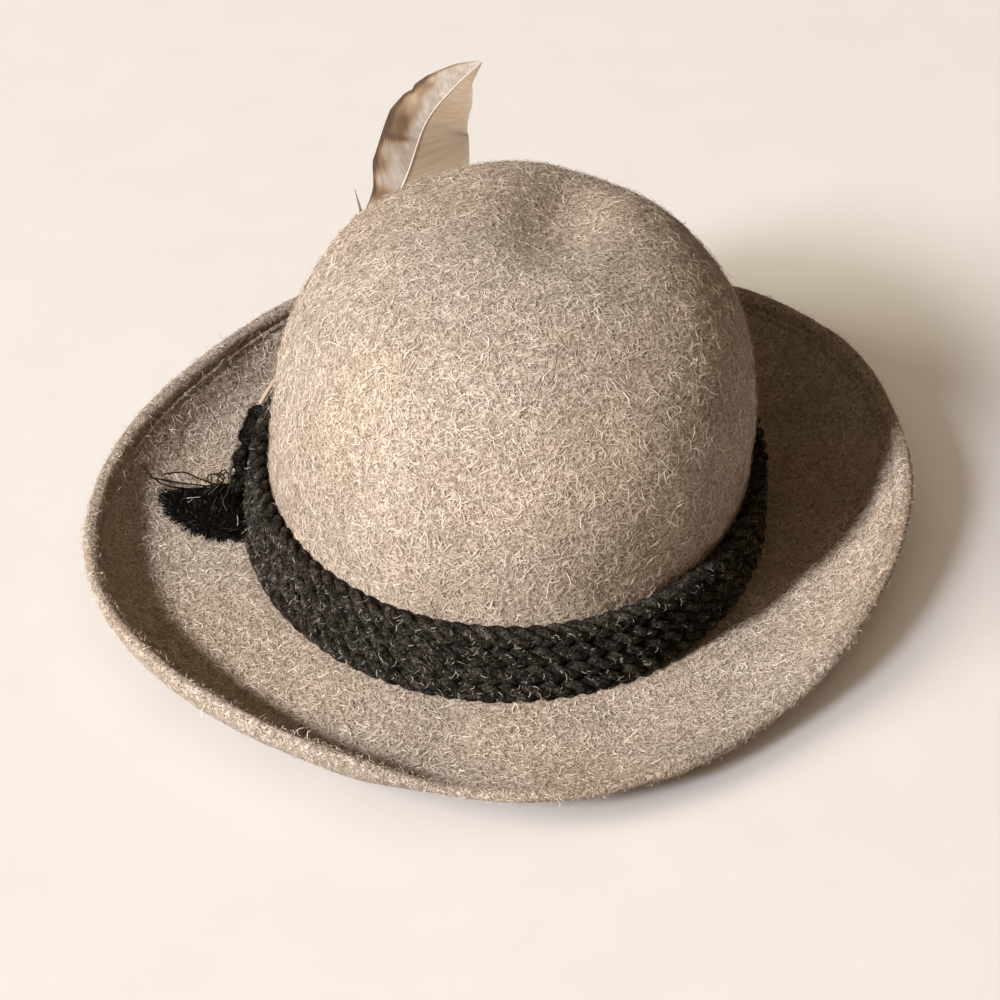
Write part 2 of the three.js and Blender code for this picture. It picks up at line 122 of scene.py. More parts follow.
# Dents in the top: place, length and breadth as shares of the half width, bearing, share of the deepest dent
DENT_COLUMNS = ("across", "along", "length", "breadth", "bearing", "depth")
CROWN_DENTS = (
    (0.15, 0.24, 0.42, 0.18, 72, 1.0),
    (0.22, -0.06, 0.3, 0.12, 50, 0.2),
    (-0.3, 0.1, 0.35, 0.25, 60, 0.18),
)

# The turned hem from its inner edge outwards: share of its width, share of its step
HEM_PROFILE = (
    (-0.03, 0.0), (0.0, 0.3), (0.05, 0.5), (0.11, 0.55), (0.17, 0.4), (0.22, 0.1),
    (0.28, 0.25), (0.36, 0.75), (0.46, 1.15), (0.58, 1.35), (0.7, 1.25),
)

# The feathers' midribs, beside the crown, and their vanes by share of the length
FEATHER_PATH = (
    (-1.03, 0.05, 0.15), (-0.985, 0.23, 0.22), (-0.83, 0.43, 0.35), (-0.69, 0.63, 0.51),
    (-0.475, 0.775, 0.687), (-0.378, 0.8, 0.926), (-0.29, 0.815, 1.023), (-0.18, 0.83, 1.112),
)
FEATHER_VANES = {
    "at": (0, 0.38, 0.46, 0.56, 0.66, 0.73, 0.83, 0.91, 0.96, 1.0),
    "left": (0, 0, 0.15, 0.3, 0.7, 0.92, 1.0, 0.72, 0.4, 0),
    "right": (0, 0, 0.12, 0.3, 0.6, 1.0, 0.74, 0.44, 0.13, 0),
}
PLUME_PATH = (
    (-1.04, 0.1, 0.09), (-0.975, 0.34, 0.17), (-0.81, 0.55, 0.31), (-0.68, 0.71, 0.44),
    (-0.61, 0.78, 0.57), (-0.645, 0.8, 0.69),
)
PLUME_VANES = {
    "at": (0, 0.35, 0.6, 0.85, 1.0),
    "left": (0, 0, 1, 0.5, 0),
    "right": (0, 0, 1, 0.5, 0),
}
FEATHER_FACING = (0.5, -0.82, 0.25)
UP = np.array((0.0, 0.0, 1.0))


# Vectors in arrays

def vectors(x, y, z):
    return np.stack(np.broadcast_arrays(x, y, z), axis=-1)


def unit(v):
    return v / np.maximum(np.linalg.norm(v, axis=-1, keepdims=True), 1e-12)


def turned(v, axis, angle):
    """v turned about a unit axis by an angle, all arrays."""
    c = np.cos(angle)[..., None]
    s = np.sin(angle)[..., None]
    along = (v * axis).sum(-1, keepdims=True)
    return v * c + np.cross(axis, v) * s + axis * along * (1 - c)


def ripple(points, size, seed):
    """A smooth random field of about -1 to 1 with features of some size."""
    waves = 14
    rng = np.random.default_rng(seed)
    ways = unit(rng.normal(size=(waves, 3)))
    pitch = 2 * math.pi / (size * rng.uniform(1.4, 3.0, waves))
    phase = rng.uniform(0, 2 * math.pi, waves)
    return np.sin(points @ (ways * pitch[:, None]).T + phase).sum(-1) / math.sqrt(waves)


def whole_turn(count):
    return np.linspace(0, 2 * math.pi, count, endpoint=False)


# The hat's shape

def crown_oval(turn):
    point = vectors(HALF_WIDTH * np.cos(turn), HALF_LENGTH * np.sin(turn), 0)
    outward = vectors(np.cos(turn) / HALF_WIDTH, np.sin(turn) / HALF_LENGTH, 0)
    return point, unit(outward)


def brim_share(column, turn):
    table = np.array(BRIM_BY_TURN[column])
    place = (turn / (2 * math.pi) % 1) * len(table)
    row = np.floor(place).astype(int)
    t = place - row
    before, here, after, later = (table[(row + step) % len(table)] for step in (-1, 0, 1, 2))
    slope0 = (after - before) / 2
    slope1 = (later - here) / 2
    rise = after - here
    return here + t * (slope0 + t * (3 * rise - 2 * slope0 - slope1 + t * (slope0 + slope1 - 2 * rise)))


def brim_point(turn, along, lift):
    turn, along, lift = np.broadcast_arrays(turn, along, lift)
    steps = 24
    curl = BRIM_CURL * brim_share("curl", turn)
    flare = BRIM_CURL * brim_share("flare", turn)
    ease = brim_share("ease", turn)
    width = BRIM_WIDTH * brim_share("width", turn)

    def bend(at):
        curled = np.maximum(0, (at - BRIM_FLAT) / (width - BRIM_FLAT)) ** ease
        rolled = np.clip(1 - (width - at) / ROLL_WIDTH, 0, 1)
        return curl * curled + flare * rolled

    out = 0
    up = 0
    for step in range(steps):
        slope = bend(along * (step + 0.5) / steps)
        out = out + np.cos(slope) * along / steps
        up = up + np.sin(slope) * along / steps
    slope = bend(along)
    point, outward = crown_oval(turn)
    point = point + outward * (out - np.sin(slope) * lift)[..., None]
    point[..., 2] = up + np.cos(slope) * lift
    return point


def break_point(turn, share, lift):
    angle = share * math.pi / 2
    radius = BREAK_RADIUS + FELT_THICKNESS - lift
    point, outward = crown_oval(turn)
    point = point + outward * (BREAK_RADIUS - radius * math.sin(angle))
    point[..., 2] = CROWN_FOOT - radius * math.cos(angle)
    return point


def lean_at(z):
    return CROWN_LEAN * (z - CROWN_FOOT) / (CROWN_HEIGHT - CROWN_FOOT)


def dent_at(x, y):
    drop = 0
    for row in CROWN_DENTS:
        dent = dict(zip(DENT_COLUMNS, row))
        bearing = math.radians(dent["bearing"])
        dx = x / HALF_WIDTH - dent["across"]
        dy = y / HALF_WIDTH - dent["along"]
        lengthwise = (dx * math.cos(bearing) + dy * math.sin(bearing)) / dent["length"]
        sideways = (dy * math.cos(bearing) - dx * math.sin(bearing)) / dent["breadth"]
        drop = drop + DENT_UNDER_HAIR * DENT_DEPTH * dent["depth"] * np.exp(-(lengthwise**2 + sideways**2))
    return drop


def crown_point(turn, wall_share, dome_angle, grown):
    width = HALF_WIDTH + grown - CROWN_TAPER * wall_share
    length = HALF_LENGTH + grown - CROWN_TAPER * wall_share
    shrink = max(0.0, math.cos(dome_angle)) ** DOME_FULLNESS
    x = width * shrink * np.cos(turn)
    y = length * shrink * np.sin(turn)
    z = CROWN_FOOT + wall_share * (CROWN_WALL_HEIGHT - CROWN_FOOT)
    z = z + (CROWN_HEIGHT + grown - CROWN_WALL_HEIGHT) * math.sin(dome_angle) ** DOME_ROUNDNESS
    top_share = np.maximum(0, z - CROWN_FOOT) / (CROWN_HEIGHT - CROWN_FOOT)
    tip = CROWN_TIP * (x / HALF_WIDTH) * top_share**2
    return vectors(x + lean_at(z), y, z - tip - dent_at(x, y) * top_share**4)


# Making meshes

def new_mesh(name, verts, loops, sizes, material, smooth=True):
    """A mesh piece from points and faces given as one list of corners and the corners of each face."""
    mesh = bpy.data.meshes.new(name)
    mesh.vertices.add(len(verts))
    mesh.vertices.foreach_set("co", np.asarray(verts, np.float32).ravel())
    mesh.loops.add(len(loops))
    mesh.loops.foreach_set("vertex_index", np.asarray(loops, np.int32))
    starts = np.concatenate(([0], np.cumsum(sizes)[:-1]))
    mesh.polygons.add(len(sizes))
    mesh.polygons.foreach_set("loop_start", starts.astype(np.int32))
    mesh.polygons.foreach_set("use_smooth", np.full(len(sizes), smooth))
    mesh.update(calc_edges=True)
    mesh.materials.append(material)
    piece = bpy.data.objects.new(name, mesh)
    bpy.context.scene.collection.objects.link(piece)
    return piece


def add_attribute(piece, name, values):
    layer = piece.data.attributes.new(name, "FLOAT", "POINT")
    layer.data.foreach_set("value", np.asarray(values, np.float32).ravel())


def grid_faces(rows, columns, wrap_rows, wrap_columns):
    """Corners of the quads of a grid of points."""
    row_count = rows if wrap_rows else rows - 1
    column_count = columns if wrap_columns else columns - 1
    r, c = np.meshgrid(np.arange(row_count), np.arange(column_count), indexing="ij")
    next_r = (r + 1) % rows
    next_c = (c + 1) % columns
    here = r * columns
    below = next_r * columns
    return np.stack([here + c, below + c, below + next_c, here + next_c], -1).reshape(-1, 4)


class Shape:
    """Points and faces gathered for one piece."""

    def __init__(self):
        self.verts = []
        self.loops = []
        self.sizes = []
        self.values = {}
        self.count = 0

    def add(self, verts, faces, **values):
        verts = np.asarray(verts).reshape(-1, 3)
        for corners in faces:
            corners = np.asarray(corners)
            self.loops.append(corners.ravel() + self.count)
            self.sizes.append(np.full(len(corners), corners.shape[1]))
        for name, value in values.items():
            self.values.setdefault(name, []).append(np.broadcast_to(value, len(verts)))
        self.verts.append(verts)
        self.count += len(verts)

    def piece(self, name, material, smooth=True):
        loops = np.concatenate(self.loops)
        sizes = np.concatenate(self.sizes)
        piece = new_mesh(name, np.concatenate(self.verts), loops, sizes, material, smooth)
        for key, parts in self.values.items():
            add_attribute(piece, key, np.concatenate(parts))
        return piece


def tube(shape, centres, radii, sides, closed=False, **values):
    """A round tube along points; its frame is carried along without twist."""
    centres = np.asarray(centres)
    if closed:
        forward = unit(np.roll(centres, -1, 0) - np.roll(centres, 1, 0))
    else:
        forward = unit(np.gradient(centres, axis=0))
    side = np.zeros_like(centres)
    start = np.cross(forward[0], UP)
    if np.linalg.norm(start) < 0.1:
        start = np.cross(forward[0], (1.0, 0.0, 0.0))
    side[0] = unit(start)
    for k in range(1, len(centres)):
        v = side[k - 1] - forward[k] * (side[k - 1] @ forward[k])
        side[k] = unit(v)
    across = np.cross(forward, side)
    angle = whole_turn(sides)
    radii = np.broadcast_to(radii, len(centres))[:, None, None]
    ring = side[:, None] * np.cos(angle)[:, None] + across[:, None] * np.sin(angle)[:, None]
    points = centres[:, None] + ring * radii
    faces = [grid_faces(len(centres), sides, closed, True)]
    if not closed:
        faces.append(np.arange(sides)[None, :])
        faces.append((np.arange(sides)[::-1] + (len(centres) - 1) * sides)[None, :])
    spread_values = {k: np.repeat(np.broadcast_to(v, len(centres)), sides) for k, v in values.items()}
    shape.add(points, faces, **spread_values)


def smooth_path(points, count, closed=False):
    """Evenly spaced points on a smooth curve through a few points."""
    p = np.asarray(points, float)
    if closed:
        p = np.concatenate((p[-1:], p, p[:2]))
    else:
        p = np.concatenate(([2 * p[0] - p[1]], p, [2 * p[-1] - p[-2]]))
    dense = []
    for k in range(len(p) - 3):
        p0, p1, p2, p3 = p[k : k + 4]
        d0, d1, d2 = (max(np.linalg.norm(b - a) ** 0.5, 1e-6) for a, b in ((p0, p1), (p1, p2), (p2, p3)))
        m1 = ((p1 - p0) / d0 - (p2 - p0) / (d0 + d1) + (p2 - p1) / d1) * d1
        m2 = ((p2 - p1) / d1 - (p3 - p1) / (d1 + d2) + (p3 - p2) / d2) * d1
        t = np.linspace(0, 1, 24, endpoint=False)[:, None]
        rise = p2 - p1
        dense.append(p1 + t * (m1 + t * (3 * rise - 2 * m1 - m2 + t * (m1 + m2 - 2 * rise))))
    dense = np.concatenate(dense + [p[-2:-1]])
    walked = np.concatenate(([0], np.cumsum(np.linalg.norm(np.diff(dense, axis=0), axis=1))))
    wanted = np.linspace(0, walked[-1], count, endpoint=not closed)
    return np.stack([np.interp(wanted, walked, dense[:, axis]) for axis in range(3)], -1)


# Materials

def material(name, roughness, sheen=0.0, sheen_tint=(1, 1, 1, 1), specular=0.5):
    m = bpy.data.materials.new(name)
    m.use_nodes = True
    shader = m.node_tree.nodes["Principled BSDF"]
    shader.inputs["Roughness"].default_value = roughness
    shader.inputs["Sheen Weight"].default_value = sheen
    shader.inputs["Sheen Roughness"].default_value = 0.6
    shader.inputs["Sheen Tint"].default_value = sheen_tint
    shader.inputs["Specular IOR Level"].default_value = specular
    return m, m.node_tree, shader


def ramp(tree, factor, stops):
    """The colour that a factor takes on a ramp of (place, linear colour)."""
    node = tree.nodes.new("ShaderNodeValToRGB")
    while len(node.color_ramp.elements) > 1:
        node.color_ramp.elements.remove(node.color_ramp.elements[-1])
    node.color_ramp.elements[0].position = stops[0][0]
    node.color_ramp.elements[0].color = (*stops[0][1], 1)
    for place, colour in stops[1:]:
        node.color_ramp.elements.new(place).color = (*colour, 1)
    tree.links.new(factor, node.inputs["Fac"])
    return node.outputs["Color"]


def object_place(tree):
    return tree.nodes.new("ShaderNodeTexCoord").outputs["Object"]


def carried(tree, name):
    """A value that the mesh carries at each point."""
    node = tree.nodes.new("ShaderNodeAttribute")
    node.attribute_name = name
    return node.outputs["Fac"]


def noise(tree, coordinates, scale, detail=2.0, distortion=0.0, stretch=(1, 1, 1), place=(0, 0, 0)):
    mapping = tree.nodes.new("ShaderNodeMapping")
    mapping.inputs["Scale"].default_value = stretch
    mapping.inputs["Location"].default_value = place
    tree.links.new(coordinates, mapping.inputs["Vector"])
    node = tree.nodes.new("ShaderNodeTexNoise")
    node.inputs["Scale"].default_value = scale
    node.inputs["Detail"].default_value = detail
    node.inputs["Distortion"].default_value = distortion
    tree.links.new(mapping.outputs["Vector"], node.inputs["Vector"])
    return node.outputs["Fac"]


def mixed(tree, factor, a, b, kind="MIX"):
    node = tree.nodes.new("ShaderNodeMix")
    node.data_type = "RGBA"
    node.blend_type = kind
    for socket, value in ((node.inputs["Factor"], factor), (node.inputs[6], a), (node.inputs[7], b)):
        if isinstance(value, bpy.types.NodeSocket):
            tree.links.new(value, socket)
        elif isinstance(value, (int, float)):
            socket.default_value = value
        else:
            socket.default_value = (*value, 1)
    return node.outputs[2]


def bump(tree, height, shader, distance, strength=1.0):
    node = tree.nodes.new("ShaderNodeBump")
    node.inputs["Strength"].default_value = strength
    node.inputs["Distance"].default_value = distance
    tree.links.new(height, node.inputs["Height"])
    tree.links.new(node.outputs["Normal"], shader.inputs["Normal"])


def curly_lines(tree, where, layers):
    """Thin curly lines like matted fibres: bright where a noise passes its middle value."""
    total = None
    for number, (scale, thin) in enumerate(layers):
        place = (0.1 * number, 0.07 * number, 0)
        field = noise(tree, where, scale, detail=1, distortion=0.7, place=place)
        black = (0, 0, 0)
        here = ramp(tree, field, ((0.5 - thin, black), (0.5, (1, 1, 1)), (0.5 + thin, black)))
        total = here if total is None else mixed(tree, 1.0, total, here, "SCREEN")
    return total


def drifting(tree, colour):
    """A colour that drifts between warm beige and cool grey over a few centimetres."""
    where = object_place(tree)
    broad = noise(tree, where, 14, place=(0.4, 0.2, 0.1))
    drift = ramp(tree, broad, ((0.36, (1.02, 0.98, 0.93)), (0.64, (0.98, 0.985, 0.99))))
    return mixed(tree, 1.0, colour, drift, "MULTIPLY")


def felt_material():
    """Matted wool: a taupe ground under layers of pale curly fibres, in soft blotches, its near-black specks
    painted shade in the gaps between the fibres.
    """
    warm = (1.0, 0.9, 0.78, 1)
    m, tree, shader = material("felt", 0.95, sheen=0.12, sheen_tint=warm, specular=0.1)
    where = object_place(tree)
    blotch = noise(tree, where, 60, detail=3)
    gap_shade_speck = noise(tree, where, 1300, detail=2, distortion=0.8)
    curls = curly_lines(tree, where, ((330, 0.045), (460, 0.05), (640, 0.06), (860, 0.06)))
    # The ground's near-black specks are painted shade in the gaps between the fibres; its lighter part is
    # the felt's own taupe.
    ground = ramp(tree, gap_shade_speck, ((0.38, (0.11, 0.08, 0.055)), (0.62, (0.34, 0.275, 0.22))))
    matted = mixed(tree, curls, ground, (0.6, 0.515, 0.44))
    broad = ramp(tree, blotch, ((0.3, (0.86, 0.84, 0.81)), (0.7, (1.06, 1.06, 1.06))))
    blotched = mixed(tree, 1.0, matted, broad, "MULTIPLY")
    tree.links.new(drifting(tree, blotched), shader.inputs["Base Color"])
    bump(tree, curls, shader, 0.0005, 0.8)
    return m


def fibre_material(name, stops, roughness=0.75, sheen=0.1, specular=0.2, drifts=False):
    """Single hairs, coloured by the tone that each hair carries."""
    m, tree, shader = material(name, roughness, sheen=sheen, specular=specular)
    colour = ramp(tree, carried(tree, "tone"), stops)
    if drifts:
        colour = drifting(tree, colour)
    tree.links.new(colour, shader.inputs["Base Color"])
    return m


def wool_material(name, shade):
    """Charcoal wool yarn, black in its depth, with curly brown and grey fibres."""
    m, tree, shader = material(name, 0.9, specular=0.05)
    where = object_place(tree)
    curls = curly_lines(tree, where, ((600, 0.05), (850, 0.06), (1200, 0.06)))
    blotch = noise(tree, where, 250, detail=3)
    broad = ramp(tree, blotch, ((0.35, (0.02, 0.017, 0.014)), (0.7, (0.15, 0.13, 0.11))))
    fibres = mixed(tree, curls, (0.005, 0.0042, 0.0035), broad)
    shaded = mixed(tree, 1.0, fibres, (shade, shade, shade), "MULTIPLY")
    tree.links.new(shaded, shader.inputs["Base Color"])
    bump(tree, curls, shader, 0.0004, 0.9)
    return m


def vane_material():
    """Barbs of a feather: pale grey over tan to brown by the bars they carry, streaked along each barb."""
    m, tree, shader = material("feather_vane", 0.42, sheen=0.1, specular=0.45)
    place = tree.nodes.new("ShaderNodeCombineXYZ")
    tree.links.new(carried(tree, "barb"), place.inputs["X"])
    tree.links.new(carried(tree, "reach"), place.inputs["Y"])
    where = place.outputs["Vector"]
    fine = noise(tree, where, 1.0, detail=3, stretch=(160, 1.5, 1))
    broad = noise(tree, where, 1.0, detail=2, stretch=(38, 2.2, 1), place=(3, 5, 0))
    tone = ramp(
        tree, carried(tree, "bar"),
        (
            (0.0, (0.72, 0.69, 0.66)), (0.3, (0.5, 0.445, 0.39)), (0.5, (0.42, 0.315, 0.215)),
            (0.8, (0.19, 0.12, 0.07)), (1.0, (0.08, 0.05, 0.032)),
        ),
    )
    streak = ramp(tree, fine, ((0.3, (0.84, 0.82, 0.8)), (0.7, (1.08, 1.08, 1.08))))
    wide = ramp(tree, broad, ((0.36, (0.82, 0.78, 0.74)), (0.6, (1.05, 1.05, 1.05))))
    wide_here = mixed(tree, carried(tree, "gloss"), (1, 1, 1), wide)
    colour = mixed(tree, 1.0, tone, streak, "MULTIPLY")
    tree.links.new(mixed(tree, 1.0, colour, wide_here, "MULTIPLY"), shader.inputs["Base Color"])
    bump(tree, fine, shader, 0.0001, 0.4)
    return m


def floor_material():
    """Warm white paper, a little uneven in its tone."""
    m, tree, shader = material("studio_floor", 0.9)
    grain = noise(tree, object_place(tree), 30, detail=3)
    tone = ramp(tree, grain, ((0.3, (0.81, 0.755, 0.695)), (0.7, (0.83, 0.775, 0.715))))
    tree.links.new(tone, shader.inputs["Base Color"])
    return m


FELT = felt_material()
FELT_HAIR = fibre_material(
    "felt_hair",
    (
        (0.0, (0.13, 0.092, 0.062)), (0.3, (0.31, 0.245, 0.19)), (0.6, (0.53, 0.445, 0.365)),
        (0.85, (0.75, 0.66, 0.57)), (1.0, (0.88, 0.81, 0.73)),
    ),
    drifts=True,
)
WOOL = wool_material("wool", 1.0)
KNOT_WOOL = wool_material("knot_wool", 0.38)
WOOL_HAIR = fibre_material(
    "wool_hair",
    (
        (0.0, (0.003, 0.0025, 0.002)), (0.5, (0.012, 0.01, 0.008)), (0.75, (0.09, 0.076, 0.062)),
        (0.9, (0.24, 0.21, 0.18)), (1.0, (0.45, 0.41, 0.36)),
    ),
    sheen=0.0, specular=0.05,
)
THREAD = fibre_material(
    "tassel_thread",
    (
        (0.0, (0.0015, 0.0013, 0.0011)), (0.5, (0.005, 0.0045, 0.004)), (0.7, (0.02, 0.011, 0.006)),
        (0.8, (0.085, 0.072, 0.058)), (1.0, (0.5, 0.46, 0.42)),
    ),
    roughness=0.7, sheen=0.0, specular=0.04,
)
VANE = vane_material()
FLOOR = floor_material()


# The felt hood

def felt_rows():
    """Rings of the hood from the crown's top over the hem and under to the top of the hollow."""
    turn = whole_turn(HOOD_TURNS)
    width = BRIM_WIDTH * brim_share("width", turn)
    rows = []
    kinds = []

    def add(kind, ring):
        rows.append(ring)
        kinds.append(kind)

    for angle in np.radians(np.concatenate((np.linspace(89, 8, 42), np.linspace(6, 0, 4)))):
        add("dome", crown_point(turn, 1, float(angle), 0))
    for share in np.linspace(1, 0, 9)[1:]:
        add("wall", crown_point(turn, share, 0, 0))
    for share in (0.8, 0.6, 0.4, 0.2, 0):
        add("break", break_point(turn, share, FELT_THICKNESS))
    inner = width - HEM_WIDTH
    for share in np.linspace(0, 0.97, 34):
        add("brim", brim_point(turn, BRIM_FLAT + share * (inner - BRIM_FLAT), FELT_THICKNESS))
    for across, step in HEM_PROFILE:
        add("hem", brim_point(turn, inner + across * HEM_WIDTH, FELT_THICKNESS + step * HEM_STEP))
    for angle in np.radians(np.linspace(80, -90, 9)):
        along = width - EDGE_RADIUS + EDGE_RADIUS * math.cos(angle)
        add("edge", brim_point(turn, along, EDGE_RADIUS + EDGE_RADIUS * math.sin(angle)))
    for share in np.linspace(0.95, 0, 20):
        add("under", brim_point(turn, BRIM_FLAT + share * (width - BRIM_FLAT), 0))
    for share in (0.25, 0.5, 0.75):
        add("under", break_point(turn, share, 0))
    for share in (0, 0.5, 1):
        add("inside", crown_point(turn, share, 0, -FELT_THICKNESS))
    for angle in np.radians(np.linspace(6, 88, 18)):
        add("inside", crown_point(turn, 1, float(angle), -FELT_THICKNESS))
    return np.array(rows), np.array(kinds)


def grid_normals(grid):
    """Outward normals of a grid whose columns go round the hat."""
    down = np.gradient(grid, axis=0)
    round_ = np.roll(grid, -1, 1) - np.roll(grid, 1, 1)
    return unit(np.cross(down, round_))


HOOD_TURNS = 260
felt_grid, felt_kinds = felt_rows()

# From the crown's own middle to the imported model's frame
hood_low, hood_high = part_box("felt_hood")
middle_now = (felt_grid.reshape(-1, 3).min(0) + felt_grid.reshape(-1, 3).max(0)) / 2
middle_packed = (np.array(hood_low) + np.array(hood_high)) / 2
SHIFT = (middle_packed - middle_now) * (1, 1, 0)

# Low random waves, broad and fine, apart from where the hat rests
felt_normals = grid_normals(felt_grid)
resting = (felt_grid[..., 2] < 0.4 * MM)[..., None]
uneven = 0.35 * MM * ripple(felt_grid, 22 * MM, 3) + 0.12 * MM * ripple(felt_grid, 6 * MM, 4)
felt_grid = felt_grid + felt_normals * (uneven[..., None] * ~resting)
felt_grid = felt_grid + SHIFT
felt_normals = grid_normals(felt_grid)


def build_hood():
    rows, columns = felt_grid.shape[:2]
    shape = Shape()
    count = rows * columns
    top = felt_grid[0].mean(0)
    hollow = felt_grid[-1].mean(0)
    faces = grid_faces(rows, columns, False, True)
    around = np.arange(columns)
    beside = (around + 1) % columns
    first = np.stack([np.full(columns, count), around, beside], -1)
    below = (rows - 1) * columns
    last = np.stack([below + around, np.full(columns, count + 1), below + beside], -1)
    shape.add(np.concatenate((felt_grid.reshape(-1, 3), [top, hollow])), [faces, first, last])
    piece = shape.piece("hood_felt", FELT)
    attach(piece, "root")
    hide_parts("felt_hood")


# Hairs on a surface

def hair_roots(grid, normals, weights, count, rng):
    """Random places on the quads of a grid, by area and weight, with their normals."""
    a = grid[:-1]
    b = grid[1:]
    c = np.roll(grid, -1, 1)[1:]
    d = np.roll(grid, -1, 1)[:-1]
    area = np.linalg.norm(np.cross(c - a, d - b), axis=-1) / 2
    chance = (area * weights[:-1]).ravel()
    pick = rng.choice(chance.size, count, p=chance / chance.sum())
    u = rng.uniform(size=(count, 1))
    v = rng.uniform(size=(count, 1))
    corners = [q.reshape(-1, 3)[pick] for q in (a, b, c, d)]
    roots = (corners[0] * (1 - u) + corners[1] * u) * (1 - v) + (corners[3] * (1 - u) + corners[2] * u) * v
    n = normals[:-1].reshape(-1, 3)[pick]
    return roots, n, pick // grid.shape[1]


def grow_hairs(name, hair_material, roots, normals, rng, length, width, tone, segments=3,
               rise=(0.15, 0.7), curl=0.5, lay=None, lay_share=0.0, sink=0.15 * MM):
    """Flat curved ribbons, each pointed at both ends, standing a little off the surface."""
    count = len(roots)
    side = unit(np.cross(normals, UP) + 1e-6)
    angle = rng.uniform(0, 2 * math.pi, count)
    way = turned(side, normals, angle)
    if lay is not None:
        combed = unit(lay - normals * (lay * normals).sum(-1, keepdims=True))
        way = unit(way * (1 - lay_share) + combed * lay_share)
    bend = rng.normal(0, curl * 0.4, count) + rng.choice((-1.0, 1.0), count) * curl
    lift0 = rng.uniform(rise[0], rise[1], count)
    lift1 = rng.uniform(-0.3, 0.15, count)
    roll = rng.uniform(-0.5, 0.5, count)
    step = (length / segments)[:, None]
    point = roots - normals * sink
    points = [point]
    flats = []
    for k in range(segments):
        share = k / max(1, segments - 1)
        heading = turned(way, normals, bend * k + rng.normal(0, 0.15, count))
        lift = (lift0 * (1 - share) + lift1 * share)[:, None]
        heading = unit(heading * np.cos(lift) + normals * np.sin(lift))
        point = point + heading * step
        points.append(point)
        flats.append(turned(unit(np.cross(heading, normals)), heading, roll))
    taper = {2: (1.0,), 3: (0.9, 0.8), 4: (0.85, 1.0, 0.7)}[segments]
    verts = [points[0]]
    # Each hair is darker at its root than at its tip: painted shade where it meets the surface under the
    # other hairs.
    tones = [tone - 0.1]
    for k in range(1, segments):
        half = flats[k] * (width * taper[k - 1] / 2)[:, None]
        verts += [points[k] - half, points[k] + half]
        tones += [tone, tone]
    verts.append(points[-1])
    tones.append(tone + 0.05)
    verts = np.stack(verts, 1)
    verts[..., 2] = np.maximum(verts[..., 2], 0)
    each = 2 * segments
    base = np.arange(count)[:, None] * each
    loops = [0, 1, 2]
    sizes = [3]
    for k in range(1, segments - 1):
        loops += [2 * k - 1, 2 * k + 1, 2 * k + 2, 2 * k]
        sizes.append(4)
    loops += [2 * segments - 3, 2 * segments - 1, 2 * segments - 2]
    sizes.append(3)
    corners = (base + np.array(loops)).ravel()
    piece = new_mesh(name, verts.reshape(-1, 3), corners, np.tile(sizes, count), hair_material)
    add_attribute(piece, "tone", np.clip(np.stack(tones, 1), 0, 1))
    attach(piece, "root")
    return piece


def felt_weights(shares):
    """How thickly each row of the hood is covered, bare where the band hides it or the hat rests."""
    weights = np.array([shares.get(kind, 0) for kind in felt_kinds], float)[:, None]
    weights = np.broadcast_to(weights, felt_grid.shape[:2]).copy()
    hidden = (felt_grid[..., 2] < BAND_TOP - 3 * MM) & np.isin(felt_kinds, ("wall", "break"))[:, None]
    weights[hidden] = 0
    weights[(felt_grid[..., 2] < 3 * MM) & (felt_kinds == "under")[:, None]] = 0
    if "front_hem" in shares:
        front = (0.5 - 0.5 * np.sin(whole_turn(HOOD_TURNS))) ** 2
        weights[felt_kinds == "hem"] += shares["front_hem"] * front
    return weights


HAIR_COATS = (
    # name, seed, count, segments, length and width in mm, tone and its spread, lift, curl, rows of the hood
    ("crown_nap", 11, 60000, 2, 2.7, 0.18, 0.47, 0.22, (0.05, 0.4), 0.9, {"dome": 1, "wall": 1}),
    ("crown_curls", 12, 46000, 3, 5.0, 0.19, 0.66, 0.19, (0.08, 0.4), 0.65, {"dome": 1, "wall": 1}),
    ("brim_nap", 13, 44000, 2, 2.3, 0.19, 0.48, 0.27, (0.05, 0.4), 0.9, {"brim": 1, "hem": 1}),
    ("brim_curls", 14, 34000, 3, 4.0, 0.21, 0.72, 0.2, (0.1, 0.5), 0.75, {"brim": 1, "front_hem": 0.25}),
    ("edge_nap", 15, 36000, 2, 2.1, 0.18, 0.5, 0.2, (0.05, 0.4), 0.9,
     {"hem": 1.2, "edge": 3, "under": 1, "inside": 0.3}),
)


def build_felt_hair():
    for name, seed, count, segments, length, width, tone, spread, rise, curl, shares in HAIR_COATS:
        rng = np.random.default_rng(seed)
        roots, normals, _ = hair_roots(felt_grid, felt_normals, felt_weights(shares), count, rng)
        tones = rng.normal(tone, spread, count) + 0.06 * ripple(roots, 9 * MM, seed)
        piece = grow_hairs(
            name, FELT_HAIR, roots, normals, rng,
            length=length * MM * rng.lognormal(0, 0.3, count),
            width=width * MM * rng.uniform(0.7, 1.3, count),
            tone=tones, segments=segments, rise=rise, curl=curl,
        )
    # A few long loose hairs that stand off the nap and break its outline
    count = 1100
    rng = np.random.default_rng(21)
    weights = felt_weights({"dome": 1, "wall": 1, "brim": 0.8, "front_hem": 0.1, "edge": 0.8})
    roots, normals, _ = hair_roots(felt_grid, felt_normals, weights, count, rng)
    piece = grow_hairs(
        "loose_hair", FELT_HAIR, roots, normals, rng,
        length=5.5 * MM * rng.lognormal(0, 0.35, count),
        width=0.15 * MM * rng.uniform(0.7, 1.3, count),
        tone=rng.normal(0.78, 0.12, count), segments=4, rise=(0.15, 0.65), curl=0.3,
    )


# The band of cords

